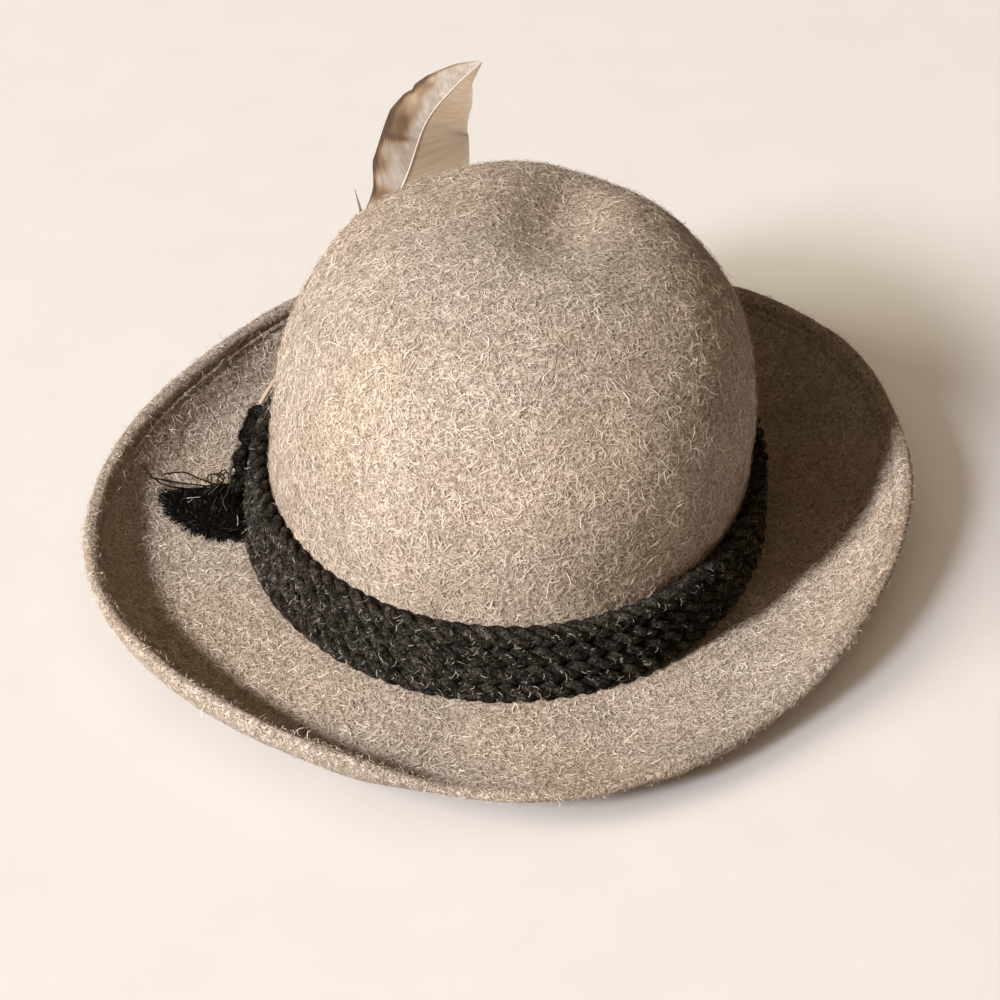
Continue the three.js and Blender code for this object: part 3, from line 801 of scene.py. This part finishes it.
def band_path(row, turn):
    """Middle of one cord, with its outward direction."""
    height = CROWN_FOOT + row * CORD_PITCH
    wall_share = (height - CROWN_FOOT) / (CROWN_WALL_HEIGHT - CROWN_FOOT)
    _, outward = crown_oval(turn)
    point = crown_point(turn, wall_share, 0, 0) + outward * (CLEARANCE + CORD_DIAMETER / 2)
    point[..., 2] = height
    return point + SHIFT, outward


def pushed_out(v, power):
    """A cosine or sine whose circle becomes a rounded square where the power is under 1."""
    return np.sign(v) * np.abs(v) ** power


def twist(shape, centres, outward, up, turns, radius, strands=2, sides=7, closed=True,
          fray=0.0, seed=0, start=0.0, power=1.0):
    """Strands wound round a line; outward and up give the plane that they turn in."""
    count = len(centres)
    share = np.arange(count) / count if closed else np.linspace(0, 1, count)
    thickness = radius * STRAND_SHARE[strands]
    offset = radius - thickness
    for strand in range(strands):
        angle = -2 * math.pi * (turns * share + strand / strands + start)
        away = pushed_out(np.cos(angle), power)[:, None]
        over = pushed_out(np.sin(angle), power)[:, None]
        line = centres + offset * (outward * away + up * over)
        wobble = 1 + fray * ripple(line, 3 * MM, seed + strand)
        tube(shape, line, thickness * wobble, sides, closed=closed)


# The rows press on each other, so their twist is squarer than round and each strand meets the next row's
BAND_SQUARENESS = 0.75
BAND_PRESS = 1.22
TWIST_AHEAD = 0.262  # of a twist, from each row to the next one up
BAND_POINTS = 400


def band_twists():
    """Whole twists of a cord on its way round."""
    middle, _ = band_path(0, whole_turn(BAND_POINTS))
    length = np.linalg.norm(np.roll(middle, -1, 0) - middle, axis=1).sum()
    return round(length / CORD_LAY)


def build_band():
    for row in range(CORD_ROWS):
        centres, outward = band_path(row, whole_turn(BAND_POINTS))
        shape = Shape()
        twist(
            shape, centres, outward, UP * BAND_PRESS, band_twists(), CORD_DIAMETER / 2 * 1.05,
            strands=CORD_STRANDS, sides=8, fray=0.06, seed=row,
            start=TWIST_AHEAD * row, power=BAND_SQUARENESS,
        )
        piece = shape.piece(f"wool_cord_{row + 1}", WOOL)
        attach(piece, "root")
        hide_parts(f"band_cord_{row + 1}")


def build_band_hair():
    count = 28000
    rng = np.random.default_rng(31)
    turn = rng.uniform(0, 2 * math.pi, count)
    row = rng.integers(0, CORD_ROWS, count)
    centres = np.zeros((count, 3))
    outward = np.zeros((count, 3))
    for k in range(CORD_ROWS):
        mine = row == k
        centres[mine], outward[mine] = band_path(k, turn[mine])
    face = rng.normal(0, 0.75, count)
    away = pushed_out(np.cos(face), BAND_SQUARENESS)[:, None]
    over = pushed_out(np.sin(face), BAND_SQUARENESS)[:, None]
    normal = outward * np.cos(face)[:, None] + UP * np.sin(face)[:, None]
    # 1 on the middle of a strand, -1 in the groove between two
    ridge = np.cos(CORD_STRANDS * (face + band_twists() * turn + 2 * math.pi * TWIST_AHEAD * row))
    reach = (CORD_DIAMETER / 2 * (0.8 + 0.2 * ridge))[:, None]
    roots = centres + (outward * away + UP * over) * reach
    # Pale hairs are the wool's own, but more of them sit on the strands and fewer in the grooves: painted
    # light on the strands, painted shade in the grooves.
    pale_more_on_lit_ridges = rng.uniform(size=count) < 0.14 + 0.2 * ridge
    round_ = np.cross(UP, outward)
    lay = round_ * 0.75 + np.cross(round_, normal) * 0.65
    piece = grow_hairs(
        "band_hair", WOOL_HAIR, roots, normal, rng,
        length=2.3 * MM * rng.lognormal(0, 0.35, count),
        width=0.18 * MM * rng.uniform(0.7, 1.3, count),
        # The ridge term darkens the hairs in the grooves and lightens them on the strands: painted shade and
        # painted light.
        tone=np.where(pale_more_on_lit_ridges, 0.86, 0.5) + rng.normal(0, 0.05, count) + 0.16 * ridge,
        rise=(0.05, 0.4), curl=0.6, lay=lay, lay_share=0.55,
    )


# The knot and the tassel

def on_band(turn_degrees, height, off):
    point, outward = crown_oval(np.array(math.radians(turn_degrees)))
    point = point + outward * (BAND_DEPTH + off)
    point[0] += lean_at(height)
    point[2] = height
    return point + SHIFT


KNOT_LOOPS = (
    # turn and tilt in degrees, the rest as shares of the knot: turn, height, tilt, across, up, how far off
    (178, 0.5, 15, 0.3, 0.28, 0.02),
    (175, 0.8, 50, 0.4, 0.34, -0.02),
    (171, 1.0, -40, 0.4, 0.3, -0.04),
    (168, 1.15, 10, 0.26, 0.26, -0.04),
    (165, 1.3, -25, 0.2, 0.24, -0.08),
)
KNOT_STRANDS = (
    # single strands beside the knot, by places on the band: turn, height and distance as shares of the knot.
    # Then the radius in mm and the tone.
    (((176.5, 1.05, 0.26), (177, 0.85, 0.32), (178, 0.6, 0.3)), 0.55, 0.81),
    (((169.5, 0.98, 0.24), (166, 0.84, 0.22), (161.5, 0.66, 0.2)), 0.6, 0.94),
    (((170, 1.2, 0.16), (168.5, 1.42, 0.22), (165, 1.4, 0.16), (166, 1.1, 0.16)), 0.35, 0.74),
)
SMALL_LOOPS = (
    # small loops beside the tassel's head: how far out in mm, fan in degrees, height and size in mm
    (6.0, -16, 6.5, 2.8),
    (2.5, -24, 8.0, 2.6),
)
HEAD_TURN = math.radians(177)
HEAD_OUT = BAND_DEPTH + LOCK_DIAMETER * 0.8


def tassel_point(distance, fan, height):
    out = HEAD_OUT + distance * np.cos(fan)
    turn = HEAD_TURN + distance * np.sin(fan) / (HALF_LENGTH + 0.8 * out)
    return brim_point(turn, out, FELT_THICKNESS + height) + SHIFT


def cord_along(shape, points, diameter, count, closed=False, seed=0):
    """A small twisted cord on a smooth line through a few points."""
    centres = smooth_path(points, count, closed)
    ahead = np.roll(centres, -1, 0) - np.roll(centres, 1, 0) if closed else np.gradient(centres, axis=0)
    forward = unit(ahead)
    side = unit(np.cross(forward, UP + 0.01))
    up = np.cross(side, forward)
    length = np.linalg.norm(np.diff(centres, axis=0), axis=1).sum()
    turns = length / SMALL_CORD_LAY
    if closed:
        turns = round(turns)
    twist(shape, centres, side, up, turns, diameter / 2, sides=7, closed=closed, fray=0.15, seed=seed)


def build_knot():
    shape = Shape()
    rng = np.random.default_rng(71)
    size = KNOT_SIZE
    core = [
        on_band(179, 0.3 * size, 0.1 * size), on_band(175, 0.7 * size, 0.06 * size),
        on_band(171, 1.0 * size, -0.02 * size), on_band(166, 1.2 * size, -0.1 * size),
        on_band(160, 1.4 * size, -0.2 * size),
    ]
    cord_along(shape, core, 0.4 * size, 70, seed=41)
    for number, (turn, height, tilt, across, up, off) in enumerate(KNOT_LOOPS):
        middle = on_band(turn, height * size, off * size)
        _, outward = crown_oval(np.array(math.radians(turn)))
        sideways = np.cross(UP, outward)
        for wrap, (grow, shift) in enumerate(((1.0, 0.0), (0.66, 0.13))):
            angle = whole_turn(9)
            lean = math.radians(tilt + rng.uniform(-12, 12))
            uneven = 1 + rng.uniform(-0.16, 0.16, len(angle))
            a = across * size * grow * np.cos(angle) * uneven
            b = up * size * grow * np.sin(angle) * uneven
            x = a * math.cos(lean) - b * math.sin(lean)
            z = a * math.sin(lean) + b * math.cos(lean)
            bulge = (0.1 * np.cos(2 * angle) + shift + rng.uniform(-0.05, 0.05, len(angle))) * size
            ring = middle + x[:, None] * sideways + z[:, None] * UP + bulge[:, None] * outward
            diameter = (0.24 + 0.03 * wrap) * size
            cord_along(shape, ring, diameter, 54, closed=True, seed=43 + 2 * number + wrap)
    piece = shape.piece("cord_knot", KNOT_WOOL)
    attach(piece, "root")
    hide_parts("trim_knot")


def build_knot_ends():
    """Single strands over the knot and small loops of thread beside the tassel's head."""
    shape = Shape()
    for ends, radius, tone in KNOT_STRANDS:
        places = [on_band(turn, height * KNOT_SIZE, off * KNOT_SIZE) for turn, height, off in ends]
        thick = radius * MM * np.interp(np.linspace(0, 1, 16), (0, 0.3, 0.8, 1), (0.5, 1, 0.8, 0.4))
        tube(shape, smooth_path(places, 16), thick, 6, tone=tone)
    angle = whole_turn(20)
    across = np.array((1.0, 0.0, 0.0))
    upward = unit(np.array((0.0, 0.6, 0.8)))
    for far, fan, height, wide in SMALL_LOOPS:
        middle = tassel_point(np.array(far * MM), np.array(math.radians(fan)), height * MM)
        for wrap in range(2):
            reach = wide * MM * (1 - 0.25 * wrap + 0.18 * np.sin(3 * angle + 2 * wrap + far))
            sideways = (reach * np.cos(angle))[:, None] * across
            ring = middle + sideways + (reach * np.sin(angle))[:, None] * upward
            tube(shape, ring, 0.32 * MM, 6, closed=True, tone=0.72)
    piece = shape.piece("knot_ends", THREAD)
    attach(piece, "root")


STRAY_THREADS = (
    # stray ends beside the fan: mm from the head, the fan's angle there in degrees, mm off the felt
    ((2, 60, 6), (12, -4, 7), (20, -8, 7), (28, -4, 4)),
    ((2, 60, 6), (18, 2, 5), (26, 2, 4), (33, 2, 2)),
    ((2, 60, 6), (22, 8, 4), (30, 4, 3), (38, -4, 1)),
)
PALE_WISPS = (
    # short pale threads on the fan: angle in degrees, start and end as shares of the length, tone
    (44, 0.5, 0.68, 0.97), (40, 0.6, 0.7, 0.95), (56, 0.2, 0.4, 0.83), (88, 0.12, 0.6, 0.79),
    (97, 0.68, 0.84, 0.97),
)


def tassel_thread(shape, rng, fan, length, top, tone, radius, part=(0, 1)):
    """One thread of the fan, from the head over the felt, wavy and a little lower at its tip."""
    t = np.linspace(part[0], part[1], 8)
    wave = rng.normal(0, 0.05, 2)
    bow = fan + wave[0] * np.sin(t * 5) + wave[1] * np.sin(t * 11)
    height = np.interp(t, (0, 0.2, 0.6, 1), (0.62 * top + 0.2 * LOCK_DIAMETER, top, 0.92 * top, 0.75 * top))
    curly = 0.3 * MM * np.sin(t * rng.uniform(9, 18) + rng.uniform(0, 6))
    line = tassel_point(length * t, bow, height + 0.4 * MM + curly)
    thick = radius * np.interp(t, (0, 0.2, 0.9, 1), (0.7, 1, 1, 0.5))
    tube(shape, line, thick, 4, tone=tone)


def build_tassel():
    rng = np.random.default_rng(51)
    shape = Shape()
    for thread in range(760):
        share = rng.uniform()
        fan = math.radians(16 + 86 * rng.uniform())
        length = TASSEL_LENGTH * rng.uniform(0.8, 1.02) * (1 - 0.14 * share) * (1 - 0.09 * math.sin(fan))
        top = LOCK_DIAMETER * (0.1 + 1.2 * share) * (0.7 + 0.3 * math.sin(fan))
        grey = rng.uniform() < 0.03
        tone = 0.77 if grey else np.clip(rng.normal(0.35, 0.16), 0, 0.62)
        tassel_thread(shape, rng, fan, length, top, tone, 0.3 * MM * rng.uniform(0.75, 1.25))
    for fan, first, last, tone in PALE_WISPS:
        top = LOCK_DIAMETER * 1.4
        tassel_thread(shape, rng, math.radians(fan), TASSEL_LENGTH, top, tone, 0.17 * MM, part=(first, last))
    for ends in STRAY_THREADS:
        places = [tassel_point(far * MM, np.radians(fan), height * MM) for far, fan, height in ends]
        tube(shape, smooth_path(places, 16), 0.3 * MM, 5, tone=0.67)
    # The tie round the head of the tassel
    angle = whole_turn(16)
    middle_fan = math.radians(45)
    for wrap in range(4):
        distance = (0.04 + 0.03 * wrap) * TASSEL_LENGTH
        centre = tassel_point(distance, middle_fan, LOCK_DIAMETER / 2)
        ahead = unit(tassel_point(distance + MM, middle_fan, LOCK_DIAMETER / 2) - centre)
        side = unit(np.cross(ahead, UP))
        ring = np.cos(angle)[:, None] * side + np.sin(angle)[:, None] * np.cross(side, ahead)
        tube(shape, centre + LOCK_DIAMETER * 0.46 * ring, 0.35 * MM, 5, closed=True, tone=0.66)
    piece = shape.piece("tassel_threads", THREAD)
    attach(piece, "root")
    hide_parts("tassel")


def build_dark_fuzz():
    """Fine curly fibres on the tassel's fan and tips and on the knot."""
    rng = np.random.default_rng(52)
    count = 7000
    share = rng.uniform(0.25, 1.03, count) ** 0.6
    fan = np.radians(rng.uniform(14, 104, count))
    top = LOCK_DIAMETER * (0.3 + 1.0 * rng.uniform(0, 1, count) ** 0.5) * (0.7 + 0.3 * np.sin(fan))
    share = share * (1 - 0.09 * np.sin(fan))
    roots = tassel_point(TASSEL_LENGTH * 0.95 * share, fan, top * (1 - 0.15 * share))
    outwards = tassel_point(TASSEL_LENGTH * share + 5 * MM, fan, top * 0.7) - roots
    normals = unit(UP + unit(outwards) * 0.7 + 0.3 * rng.normal(size=(count, 3)))
    piece = grow_hairs(
        "tassel_fuzz", THREAD, roots, normals, rng,
        length=2.6 * MM * rng.lognormal(0, 0.35, count),
        width=0.16 * MM * rng.uniform(0.7, 1.3, count),
        tone=np.where(rng.uniform(size=count) < 0.05, 0.78, rng.normal(0.35, 0.14, count)),
        rise=(0.1, 0.9), curl=0.8, sink=0,
    )
    count = 2600
    pick = rng.integers(0, len(KNOT_LOOPS), count)
    table = np.array(KNOT_LOOPS)[pick]
    turn = np.radians(table[:, 0] + rng.normal(0, 2.2, count))
    height = (table[:, 1] + rng.normal(0, 0.2, count)) * KNOT_SIZE
    middle, outward = crown_oval(turn)
    roots = middle + outward * (BAND_DEPTH + KNOT_SIZE * (table[:, 5:6] + rng.uniform(0.1, 0.3, (count, 1))))
    roots = roots + SHIFT + vectors(lean_at(height), 0, height)
    piece = grow_hairs(
        "knot_fuzz", THREAD, roots, unit(outward + 0.5 * rng.normal(size=(count, 3))), rng,
        length=2.6 * MM * rng.lognormal(0, 0.35, count),
        width=0.16 * MM * rng.uniform(0.7, 1.3, count),
        tone=np.where(rng.uniform(size=count) < 0.15, 0.79, rng.normal(0.4, 0.14, count)),
        rise=(0.0, 0.6), curl=0.8, sink=0,
    )


# The feathers

def beside_crown(rows):
    rows = np.array(rows)
    z = rows[:, 2] * CROWN_HEIGHT
    x = rows[:, 0] * (HALF_WIDTH + BAND_DEPTH) + lean_at(z)
    return np.stack([x, rows[:, 1] * (HALF_LENGTH + BAND_DEPTH), z], -1) + SHIFT


def feather_frame(path, at):
    """Midrib points and the feather's own directions at shares of its length."""
    line = smooth_path(beside_crown(path), 400)
    steps = np.linspace(0, 1, len(line))
    centre, along = (
        np.stack([np.interp(at, steps, values[:, k]) for k in range(3)], -1)
        for values in (line, np.gradient(line, axis=0))
    )
    forward = unit(along)
    left = unit(np.cross(np.array(FEATHER_FACING), forward))
    return centre, left, np.cross(forward, left)


def vane_share(table, column, at):
    return np.interp(at, table["at"], table[column])


FEATHER_NOTCHES = (
    # side, place along, depth, breadth
    ("left", 0.872, 0.07, 0.006),
    ("left", 0.72, -0.1, 0.07),
    ("right", 0.95, 0.14, 0.008),
)
FEATHER_BARS = (
    # brown places on the left vane: along, breadth along, from how far out, how dark
    (0.89, 0.02, 0.4, 0.5),
    (0.815, 0.04, 0.2, 0.6),
    (0.787, 0.005, 0.05, 0.5),
    (0.64, 0.025, 0.05, 0.6),
    (0.72, 0.025, 0.5, 0.5),
)
VANE_WAVE = 0.1 * MM

# Each side of a feather: its way from the midrib, how it cups, where its streaks start, their strength
VANE_SIDES = {
    "left": {"sign": 1.0, "cup": 4.0, "streaks_from": 0, "gloss": 1.0},
    "right": {"sign": -1.0, "cup": -1.5, "streaks_from": 2, "gloss": 0.12},
}


def notched(side, at):
    """How much of a vane's reach is left at places along it."""
    left_over = 1.0
    for where, along, depth, breadth in FEATHER_NOTCHES:
        if where == side:
            left_over = left_over - depth * np.exp(-(((at - along) / breadth) ** 2))
    return left_over


def add_vane(shape, path, table, side, reach, sweep, first_at, rows=150, columns=15):
    """One side of a feather: a smooth cupped sheet of barbs that lean towards the tip."""
    form = VANE_SIDES[side]
    start = np.linspace(first_at, 0.998, rows)[:, None]
    q = np.linspace(0, 1, columns)[None, :]
    at = np.clip(start + sweep * q**1.3 * (1 - start) / (1 - first_at) * 1.6, 0, 1)
    centre, left, front = feather_frame(path, at.ravel())
    out = reach * vane_share(table, side, at) * notched(side, at) * q
    out = (out + QUILL_DIAMETER * 0.1).ravel()[:, None]
    wave = VANE_WAVE * np.sin(start * 40 + q * 3) * q
    points = centre + left * form["sign"] * out - front * (form["cup"] * out**2)
    points = points + front * wave.ravel()[:, None]
    bar = tan_at(at, q) if side == "right" else bar_at(at, q)
    shape.add(
        points, [grid_faces(rows, columns, False, False)],
        bar=bar.ravel(), barb=np.broadcast_to(start, at.shape).ravel() + form["streaks_from"],
        reach=np.broadcast_to(q, at.shape).ravel(), gloss=form["gloss"],
    )


def bar_at(at, q):
    """How brown the left vane is: pale grey with brown bars and a brown outer edge."""
    dark = 0.2 + 0.08 * np.sin(at * 130 + 2 * q) ** 8
    for along, breadth, out, depth in FEATHER_BARS:
        dark = dark + depth * np.exp(-(((at - along) / breadth) ** 2)) * np.clip((q - out) / 0.25, 0, 1)
    dark = dark + 0.55 * np.clip((q - 0.82) / 0.15, 0, 1)
    return np.clip(dark, 0, 0.95)


def tan_at(at, q):
    """How brown the right vane is: plain tan with a paler outer edge."""
    return 0.46 - 0.1 * np.clip((q - 0.86) / 0.14, 0, 1) + 0.02 * np.sin(at * 60)


def build_feather():
    shape = Shape()
    add_vane(shape, FEATHER_PATH, FEATHER_VANES, "left", LEFT_VANE, 0.16, 0.33)
    add_vane(shape, FEATHER_PATH, FEATHER_VANES, "right", RIGHT_VANE, 0.1, 0.35)
    vane = shape.piece("feather_barbs", VANE)
    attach(vane, "root")
    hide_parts("feather")
    shape = Shape()
    at = np.linspace(0.34, 0.985, 60)
    centre, _, _ = feather_frame(FEATHER_PATH, at)
    brown = np.interp(at, (0.34, 0.55, 0.66), (0.97, 0.8, 0.26))
    tube(shape, centre, QUILL_DIAMETER / 2 * (0.66 - 0.58 * at), 8, bar=brown, barb=at, reach=0.0, gloss=0.0)
    quill = shape.piece("feather_quill", VANE)
    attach(quill, "root")


def build_plume():
    shape = Shape()
    for side in VANE_SIDES:
        add_vane(shape, PLUME_PATH, PLUME_VANES, side, PLUME_VANE / 2, 0.12, 0.3, rows=60, columns=5)
    at = np.linspace(0, 1, 50)
    centre, _, _ = feather_frame(PLUME_PATH, at)
    brown = np.interp(at, (0, 0.6, 1), (0.2, 0.7, 1))
    tube(shape, centre, QUILL_DIAMETER / 2 * (1 - 0.9 * at), 7, bar=brown, barb=at, reach=0.0, gloss=0.0)
    piece = shape.piece("plume_barbs", VANE)
    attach(piece, "root")
    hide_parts("small_plume")


# The studio

CAMERA_DISTANCE = 1.0
CAMERA_ELEVATION = math.radians(36.8)
CAMERA_TARGET = (-0.0016, 0.0, 0.0063)
CAMERA_LENS = 100.7
SENSOR_WIDTH = 36
LAMPS = (
    # name, way, distance, size, power, colour, and whether it lights the floor alone or all but the floor
    ("key", (-0.625, -0.506, 0.595), 3.0, 0.3, 168, (1.0, 0.965, 0.94), "EXCLUDE"),
    ("softbox", (-0.6, -0.5, 1.0), 2.4, 1.6, 4, (1.0, 0.9, 0.8), "EXCLUDE"),
    ("floor_key", (-0.623, -0.602, 0.5), 10.0, 2.2, 900, (0.8, 0.85, 1.0), "INCLUDE"),
    ("floor_softbox", (-0.86, -0.26, 0.44), 10.0, 5.0, 950, (0.97, 0.955, 0.9), "INCLUDE"),
    ("floor_sky", (-0.1, -0.1, 1.0), 9.0, 18.0, 355, (0.97, 0.93, 0.86), "INCLUDE"),
)
FEATHER_CARD = ((0.25, -0.6, 0.9), 2.0, 1.0, 24, (1.0, 0.95, 0.9))  # way, distance, size, power, colour


def build_studio():
    camera = bpy.data.objects.new("camera", bpy.data.cameras.new("camera"))
    camera.data.lens = CAMERA_LENS
    camera.data.sensor_width = SENSOR_WIDTH
    back = Vector((0, -math.cos(CAMERA_ELEVATION), math.sin(CAMERA_ELEVATION))) * CAMERA_DISTANCE
    camera.location = back + Vector(SHIFT)
    target = Vector(CAMERA_TARGET) + Vector(SHIFT)
    camera.rotation_euler = (target - camera.location).to_track_quat("-Z", "Y").to_euler()
    bpy.context.scene.collection.objects.link(camera)
    bpy.context.scene.camera = camera

    floor = new_mesh(
        "studio_floor",
        [(-6, -6, 0), (6, -6, 0), (6, 6, 0), (-6, 6, 0)],
        [0, 1, 2, 3], [4], FLOOR, smooth=False,
    )
    floor.location.z = -0.2 * MM

    def linked(light, kind, piece, state):
        """Lets a lamp light, or be shaded by, one piece alone or all but that piece."""
        group = getattr(light.light_linking, kind)
        if group is None:
            group = bpy.data.collections.new(light.name + "_" + kind)
            setattr(light.light_linking, kind, group)
        group.objects.link(piece)
        group.collection_objects[len(group.objects) - 1].light_linking.link_state = state

    def area(name, way, distance, size, power, colour, piece, state):
        lamp = bpy.data.lights.new(name, "AREA")
        lamp.shape = "DISK"
        lamp.size = size
        lamp.energy = power
        lamp.color = colour
        light = bpy.data.objects.new(name, lamp)
        light.location = Vector(way).normalized() * distance
        light.rotation_euler = (-light.location).to_track_quat("-Z", "Y").to_euler()
        bpy.context.scene.collection.objects.link(light)
        linked(light, "receiver_collection", piece, state)
        return light

    lamps = {name: area(name, *values, floor, state) for name, *values, state in LAMPS}
    for name in ("feather_barbs", "feather_quill", "plume_barbs"):
        feather = bpy.data.objects[name]
        area(name + "_card", *FEATHER_CARD, feather, "INCLUDE")
        for lamp in ("floor_key", "floor_softbox"):
            linked(lamps[lamp], "blocker_collection", feather, "EXCLUDE")
    world = bpy.data.worlds.new("studio")
    world.use_nodes = True
    sky = world.node_tree.nodes["Background"].inputs
    sky["Color"].default_value = (1.0, 0.7, 0.4, 1)
    sky["Strength"].default_value = 0.17
    bpy.context.scene.world = world
    bpy.context.scene.view_settings.view_transform = "Standard"


build_hood()
build_felt_hair()
build_band()
build_band_hair()
build_knot()
build_knot_ends()
build_tassel()
build_dark_fuzz()
build_feather()
build_plume()
build_studio()
